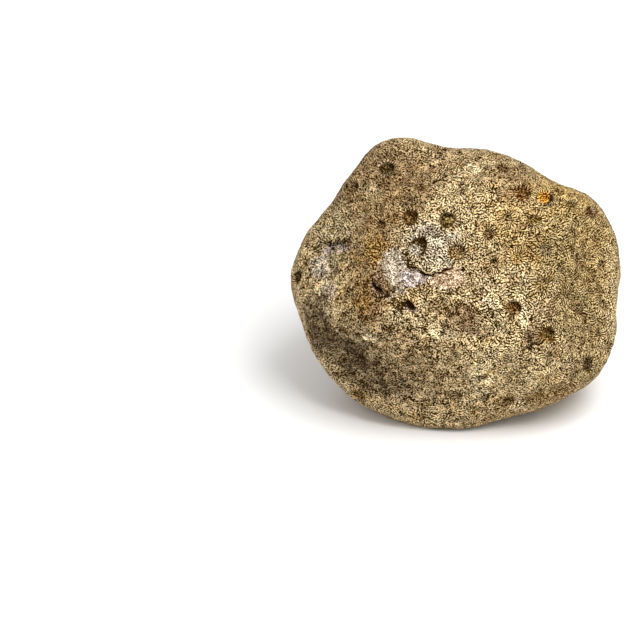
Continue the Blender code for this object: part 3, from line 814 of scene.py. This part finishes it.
# (colour, x, v, radius) of cups whose floor has another colour
CUP_FLOORS = (
    ("bark", -3.2, 17.7, 2.4),
    ("honey", -1.9, 17.8, 1.4),
    ("umber", 26.4, 23.8, 2.2),
    ("orange", 25.2, 24.6, 2.0),
    ("sienna", 18.9, 25.7, 2.9),
    ("sienna", 16.2, -7.4, 1.8),
    ("brown", 15.5, -10.4, 1.3),
    ("brown", -13.7, 18.6, 2.4),
    ("bark", -11.3, 10.1, 2.7),
    ("chip_grey", -12.1, 9.2, 1.9),
    ("dull_olive", 26.0, -15.2, 2.6),
    # Painted shade on the dark right side of this hollow
    ("umber", 27.6, -14.4, 0.9),
    ("honey", 9.4, 25.4, 2.2),
    ("bark", 25.6, 9.2, 2.2),
    ("dull_olive", 24.4, -0.7, 2.4),
    ("dull_olive", 22.4, 17.4, 1.9),
    ("brown", 9.0, 13.8, 1.8),
    ("dull_olive", 33.5, 22.5, 1.6),
    ("brown", -11.0, 27.4, 1.7),
    ("drab", -0.2, 8.6, 2.6),
    ("mustard", 17.0, 7.0, 1.8),
    ("shade", -20.0, 32.8, 2.4),
    ("olive", 16.5, -26.7, 2.4),
    ("brown", 15.2, -34.2, 1.9),
    ("umber", 38.0, -24.2, 1.7),
    ("brown", 13.4, 33.0, 2.0),
    ("brown", 39.3, 20.6, 2.0),
)
SMOOTH_DEPTH = (0.6, 1.0)  # mm: a cup this deep is smooth with dirt, and a shallow one shows its ribs
FLOOR_EDGE = 0.85  # of that radius, where its colour starts to fade
FLOOR_CLEAN = 0.65  # the share of the dirt and painted shade that such a floor is free of
COLLAR_HONEY = 0.2
STAIN_FADE = (0.6, 1.2)  # times the ellipse: where it starts to fade and is gone
FRONT = (-0.3, 0.1)  # w over the distance from the middle, where the listed stains start and are whole
HIDDEN_STAINS = 60
HIDDEN_STAIN_SIZE = (5, 15)  # mm
HIDDEN_STAIN_FADE = (0.3, 1.2)  # times its size
HIDDEN_STAIN_STRENGTH = (0.5, 0.95)


def linear(colour):
    """The linear values of a named sRGB colour, in the tone of the stone."""
    share = np.array(COLOURS[colour]) / 255
    return TONE * np.where(share < 0.04045, share / 12.92, ((share + 0.055) / 1.055) ** 2.4)


def depth_inside(points, outline):
    """How far each (x, v) lies inside a closed outline, in millimetres; below zero is outside."""
    corners = np.array(outline)
    nearest = np.full(len(points), np.inf)
    inside = np.zeros(len(points), bool)
    for start, end in zip(corners, np.roll(corners, -1, axis=0)):
        run = end - start
        along = np.clip((points - start) @ run / (run @ run), 0, 1)
        nearest = np.minimum(nearest, np.linalg.norm(points - start - along[:, None] * run, axis=1))
        crossing = start[0] + (points[:, 1] - start[1]) / (run[1] or 1.0) * run[0]
        inside ^= ((start[1] > points[:, 1]) != (end[1] > points[:, 1])) & (points[:, 0] < crossing)
    return np.where(inside, nearest, -nearest)


STAIN_WANDER = 0.5  # mm
SHORT_WAVE = 1.5  # radians per mm: these waves fray the edge of a stain and don't shift it
short = np.linalg.norm(wander_waves, axis=0) > SHORT_WAVE
plain = to_face(places)
face = wandered(plain)
fraying = np.sin(plain @ wander_waves[:, short] + wander_starts[short]) @ wander_sizes[short]
spread = plain + STAIN_WANDER * fraying
front = smooth_step(unit(face)[:, 2], *FRONT)
tint = np.tile(linear(BASE_COLOUR), (len(places), 1))


def stain(colour, amount):
    tint[:] += amount[:, None] * (linear(colour) - tint)


rng = np.random.default_rng(8)
hidden_choices = ("honey", "dull_olive", "moss", "ochre", "brown", "grey", "shade", "cream")
for index in rng.integers(len(places), size=HIDDEN_STAINS):
    reach = np.linalg.norm(places - places[index], axis=1) / rng.uniform(*HIDDEN_STAIN_SIZE)
    colour = hidden_choices[rng.integers(len(hidden_choices))]
    near = (1 - smooth_step(reach, *HIDDEN_STAIN_FADE)) * rng.uniform(*HIDDEN_STAIN_STRENGTH)
    stain(colour, near * (1 - front))
for colour, x, v, half_length, half_width, turn, strength in STAINS:
    near = 1 - smooth_step(reach_of(spread, x, v, half_length, half_width, turn), *STAIN_FADE)
    stain(colour, near * strength * front)
chipped = np.zeros(len(places))
for colour, strength, outline in CHIPS:
    near = smooth_step(depth_inside(face[:, :2], outline), -CHIP_EDGE, CHIP_EDGE) * front
    stain(colour, near * strength)
    chipped = np.maximum(chipped, near)
deep = in_cup * smooth_step(open_depths[point_owner], *SMOOTH_DEPTH)
stain(CUP_FLOOR[0], CUP_FLOOR[1] * in_cup + (CUP_FLOOR[2] - CUP_FLOOR[1]) * deep)
own_floor = np.zeros(len(places))
for colour, x, v, radius in CUP_FLOORS:
    reach = np.hypot(plain[:, 0] - x, plain[:, 1] - v)
    near = (1 - smooth_step(reach, FLOOR_EDGE * radius, radius)) * front
    stain(colour, near)
    own_floor = np.maximum(own_floor, near)
# Dirt and painted shade on the cups' steep walls, less on a floor with its own colour
dirt_and_shade *= 1 - FLOOR_CLEAN * own_floor
stain(CUP_DIRT_AND_SHADE[0], dirt_and_shade * CUP_DIRT_AND_SHADE[1])
stain("honey", COLLAR_HONEY * clear_ribs * (1 - in_cup))
core = worn_clarity * (1 - smooth_step(from_middle, *WORN_CORE)) * (open_here == 0)
stain(CUP_FLOOR[0], core * CUP_FLOOR[1])


def ground_share(grounds, start, end):
    """How far each point is in any of these turned ellipses: 1 within start, and 0 beyond end."""
    reach = np.min([reach_of(spread, *ground) for ground in grounds], axis=0)
    return (1 - smooth_step(reach, start, end)) * front


# (x, v, half length, half width, turn) of ground where the ribs are rubbed away
RUBBED_GROUND = (
    (-24.0, 9.0, 3.4, 5.0, -25), (-27.0, -3.0, 3.0, 6.0, 0),
    (-35.2, -6.5, 3.2, 5.4, 20), (24.0, -34.2, 16.0, 3.0, 18), (2.2, -9.6, 3.6, 4.4, 20),
)  # fmt: skip
# How much of the ribs' relief is gone: in a cup, more in a deep one, more on a floor with its own colour, on
# rubbed ground and on a chip
CUP_CALM, DEEP_CALM, FLOOR_CALM, RUBBED_CALM, CHIP_CALM = 0.3, 0.5, 0.1, 0.7, 1.0
cup_calm = CUP_CALM * in_cup + DEEP_CALM * deep + FLOOR_CALM * own_floor
rubbed_calm = RUBBED_CALM * ground_share(RUBBED_GROUND, start=0.6, end=1.15)
store("calm", np.maximum.reduce([cup_calm, rubbed_calm, CHIP_CALM * chipped]))
# Dirt and painted shade on the cups' steep walls, for the material to darken
store("dirt_and_shade", dirt_and_shade)
store("broken", np.maximum(ground_share(BROKEN_GROUND, start=0.7, end=1.1), chipped))
store("tint", np.column_stack((tint, np.ones(len(tint)))), "FLOAT_COLOR", "color")

# %% [markdown]
# ## The stone's material
# Under a lens, the skin is a maze of pale ribs with dark grooves between them. Around an open cup the ribs
# run straight out like rays, and a cosine of the angle draws those. Further out they wander, which a Gabor
# texture draws, because its waves keep one width while their direction follows the surface. One value, high
# on a rib and low in a groove, then drives the colour, the bump and the roughness together.

# %% Small helpers for shader nodes
coral = bpy.data.materials.new("fossil_coral")
coral.use_nodes = True
nodes, links = coral.node_tree.nodes, coral.node_tree.links
nodes.clear()


def node(kind, *inputs, output=0, **settings):
    """Adds a node. An input is a number, a colour, another node's output, or None to leave it alone."""
    made = nodes.new("ShaderNode" + kind)
    for key, value in settings.items():
        setattr(made, key, value)
    for socket, value in zip([socket for socket in made.inputs if socket.enabled], inputs):
        if isinstance(value, bpy.types.NodeSocket):
            links.new(value, socket)
        elif value is not None:
            socket.default_value = value
    return made.outputs[output]


def calculate(operation, *inputs):
    return node("Math", *inputs, operation=operation)


def ramp(value, start, end, low=0.0, high=1.0):
    """Rises smoothly from low to high while the value goes from start to end."""
    return node("MapRange", value, start, end, low, high, interpolation_type="SMOOTHSTEP")


def mix(share, first, second):
    return calculate("MULTIPLY_ADD", share, calculate("SUBTRACT", second, first), first)


def noise(size, detail=2.0, roughness=0.5, output=0):
    """Noise whose lumps are about this many millimetres across."""
    return node("TexNoise", position, 1 / size, detail, roughness, output=output)


def attribute_value(name):
    return node("Attribute", attribute_name=name, output=2)


# %% Where on the stone
position = node("VectorMath", node("TexCoord", output=3), 1 / MM, operation="SCALE")
WOBBLE = 0.6  # mm by which the ribs leave their straight run
WOBBLE_SIZE = 1.6  # mm
wobble = node("VectorMath", noise(WOBBLE_SIZE, output=1), (0.5, 0.5, 0.5), operation="SUBTRACT")
wobble = node("VectorMath", wobble, 2 * WOBBLE * MAP_SCALE, operation="SCALE")
rib_place = node("VectorMath", node("UVMap", uv_map="ribs"), wobble, operation="ADD")
rib_radius = calculate("DIVIDE", node("VectorMath", rib_place, output=1, operation="LENGTH"), MAP_SCALE)
split = nodes.new("ShaderNodeSeparateXYZ")
links.new(rib_place, split.inputs[0])
angle = calculate("ARCTAN2", split.outputs[1], split.outputs[0])

# %% [markdown]
# ## The rays around a cup
# New ribs start between the old ones as the ring widens, so that their spacing never grows past 0.9
# millimetres. Three cosines with more and more waves take over from each other at growing radii.

# %% Rays and maze
RAYS = (21, 33, 48)  # ribs in a whole turn
RAY_CHANGES = ((2.9, 3.3), (4.4, 4.9))  # mm from the middle of the cup


def rays(count):
    return calculate("COSINE", calculate("MULTIPLY", angle, count))


ray_wave = rays(RAYS[0])
for count, (start, end) in zip(RAYS[1:], RAY_CHANGES):
    ray_wave = mix(ramp(rib_radius, start, end), ray_wave, rays(count))

MAZE_WAVE = 0.68  # mm from rib to rib
MAZE_FREQUENCY = 2.0
MAZE_ORDER = (0.35, 0.9)  # how well it follows the rays: far from a clear cup, and at one
maze_run = node("Attribute", attribute_name="across_ribs", output=1)
clear_ribs = attribute_value("clear_ribs")
maze_order = ramp(clear_ribs, 0.0, 0.6, *MAZE_ORDER)
maze = node(
    "TexGabor", position, 1 / (MAZE_WAVE * MAZE_FREQUENCY), MAZE_FREQUENCY, maze_order, maze_run,
    gabor_type="3D", output=1,
)  # fmt: skip
maze_wave = calculate("COSINE", calculate("MULTIPLY", maze, math.tau))
wave = mix(clear_ribs, maze_wave, ray_wave)

# %% [markdown]
# ## Grain
# Each rib is a string of crystals, so a fine noise breaks the wave up. On broken ground the wave fades and
# the noise is left, and in cups and on chips the noise fades too.

# %% Break the ribs into grains
GRAIN, BROKEN_GRAIN = 0.35, 0.38  # mm
WAVE_SHARE, GRAIN_SHARE, PATCH_SHARE = 0.39, 3.8, 0.7
BROKEN_WAVE_SHARE, BROKEN_GRAIN_SHARE, BROKEN_PATCH_SHARE = 0.1, 4.4, 1.6
# A ramp holds a range of the noise, and the range that it is turned into
FLECK, FLECK_RAMP = 0.6, (0.6, 0.68, 0.0, 0.5)
PATCH = 2.2  # mm
CLEAR_GRAIN = 0.5  # of the grain is left where the ribs are clearest
STRENGTH_SIZE, STRENGTH_RAMP = 1.4, (0.35, 0.6, 0.6, 1.1)  # of the wave
RAY_STRENGTH = 0.85
MIDDLE = 0.415  # the level of ground with no relief
CALMED = 0.8  # of the relief goes where the ground is calm
CRACK_SHADE_DROP, DIRT_AND_SHADE_DROP, BROKEN_DROP = 0.35, 0.12, 0.05  # in level
broken = attribute_value("broken")
grain = mix(broken, noise(GRAIN, 2.0, 0.6), noise(BROKEN_GRAIN, 2.0, 0.6))
grain = calculate("SUBTRACT", grain, 0.5)
grain = calculate("MULTIPLY", grain, calculate("MULTIPLY_ADD", clear_ribs, CLEAR_GRAIN - 1, 1.0))
patch = calculate("SUBTRACT", noise(PATCH, 3.0, 0.6), 0.5)
strength = ramp(noise(STRENGTH_SIZE, 1.0), *STRENGTH_RAMP)
strength = calculate("MAXIMUM", strength, calculate("MULTIPLY", clear_ribs, RAY_STRENGTH))
relief = calculate("MULTIPLY", wave, strength)
relief = calculate("MULTIPLY", relief, mix(broken, WAVE_SHARE, BROKEN_WAVE_SHARE))
relief = calculate("MULTIPLY_ADD", grain, mix(broken, GRAIN_SHARE, BROKEN_GRAIN_SHARE), relief)
relief = calculate("MULTIPLY_ADD", patch, mix(broken, PATCH_SHARE, BROKEN_PATCH_SHARE), relief)
flecks = ramp(noise(FLECK, 1.0), *FLECK_RAMP)
relief = calculate("MULTIPLY_ADD", broken, flecks, relief)
calm = attribute_value("calm")
level = calculate("MULTIPLY_ADD", relief, calculate("MULTIPLY_ADD", calm, -CALMED, 1.0), MIDDLE)
# Cracks and step gutters are darkened with painted shade.
level = calculate("MULTIPLY_ADD", attribute_value("crack"), -CRACK_SHADE_DROP, level)
# The cups' steep walls are darkened with dirt and painted shade.
level = calculate("MULTIPLY_ADD", attribute_value("dirt_and_shade"), -DIRT_AND_SHADE_DROP, level)
rough_ground = calculate("MULTIPLY", broken, calculate("SUBTRACT", 1.0, calm))
level = calculate("MULTIPLY_ADD", rough_ground, -BROKEN_DROP, level)
level = node("Clamp", level)

# %% [markdown]
# ## Colour, bump and gloss
# Grooves hold dark dirt and rib tops are bleached. Both keep the hue of the stain, because each adds one and
# the same amount to its red, green and blue after a gamma has made their steps even to the eye.

# %% Put the material together
DISPLAY_GAMMA = 2.2
GROOVE_LEVEL, RIB_LEVEL = 0.18, 0.68
GROOVE_SHIFT, RIB_SHIFT = -0.6, 0.375  # what a groove and a rib top add to the colour as a screen shows it
DARK_TO_PALE, CONTRAST = (0.1, 0.55), (0.72, 1.05)  # ribs stand out less on a dark stain
DARKEST = (0.17, 0.11, 0.01)
# (size in millimetres, noise where a patch starts and where it is whole, gamma on the stain there)
DARK_PATCHES, PALE_PATCHES = (3.6, 0.5, 0.62, 1.35), (3.1, 0.52, 0.7, 0.85)
MOTTLE_SIZE, MOTTLE_RAMP, CALM_MOTTLE = 2.6, (0.3, 0.7, 0.66, 1.24), 0.97  # what the stain is scaled by
BUMP_STRENGTH, BUMP_HEIGHT = 0.9, 0.25  # the height in mm
ROUGHNESS_RAMP = (0.2, 0.8, 0.85, 0.58)  # from the level of a groove to that of a rib
GLOSS = 0.02


def blend(share, first, second):
    return node("Mix", share, first, second, data_type="RGBA", output=2)


def scaled(colour, by):
    return node("VectorMath", colour, by, operation="SCALE")


def patched(colour, size, start, whole, gamma):
    """The colour, darker in patches where the gamma is above 1 and paler where it is below."""
    return blend(ramp(noise(size, 3.0), start, whole), colour, node("Gamma", colour, gamma))


stain_colour = node("Attribute", attribute_name="tint")
tint_colour = patched(patched(stain_colour, *DARK_PATCHES), *PALE_PATCHES)
mottle = mix(calm, ramp(noise(MOTTLE_SIZE, 4.0, 0.6), *MOTTLE_RAMP), CALM_MOTTLE)
tint_colour = scaled(blend(calm, tint_colour, stain_colour), mottle)
shift = ramp(level, GROOVE_LEVEL, RIB_LEVEL, GROOVE_SHIFT, RIB_SHIFT)
shown = node("Gamma", tint_colour, 1 / DISPLAY_GAMMA)
shift = calculate("MULTIPLY", shift, ramp(node("RGBToBW", shown), *DARK_TO_PALE, *CONTRAST))
shown = node("VectorMath", shown, shift, operation="ADD")
skin_colour = node("Gamma", node("VectorMath", shown, DARKEST, operation="MAXIMUM"), DISPLAY_GAMMA)
bump = node("Bump", BUMP_STRENGTH, BUMP_HEIGHT * MM, None, level)
shader = nodes.new("ShaderNodeBsdfPrincipled")
links.new(skin_colour, shader.inputs["Base Color"])
links.new(bump, shader.inputs["Normal"])
links.new(ramp(level, *ROUGHNESS_RAMP), shader.inputs["Roughness"])
shader.inputs["Specular IOR Level"].default_value = GLOSS
links.new(shader.outputs[0], nodes.new("ShaderNodeOutputMaterial").inputs["Surface"])
stone.data.materials.clear()
stone.data.materials.append(coral)

# %% [markdown]
# ## Rest the skin on the floor and hand it over
# The skin may not sink below the base plane, nor leave the solid's box, so the points that did are brought
# back. Then the skin stands in for the solid.

# %% Fit to the box
box_low, box_high = np.array(cad_box) / MM
places = points_of(stone)
kept = np.clip(places, box_low, box_high)
print("The skin stood proud by", round(float(np.abs(kept - places).max()), 2), "mm before it was fitted")
stone.data.vertices.foreach_set("co", (kept * MM).astype(np.float32).ravel())
stone.data.update()
bpy.ops.object.select_all(action="DESELECT")
stone.select_set(True)
bpy.context.view_layer.objects.active = stone
bpy.ops.object.shade_smooth()

# %% Join it to the model
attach(stone, "root")
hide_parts("coral_head")
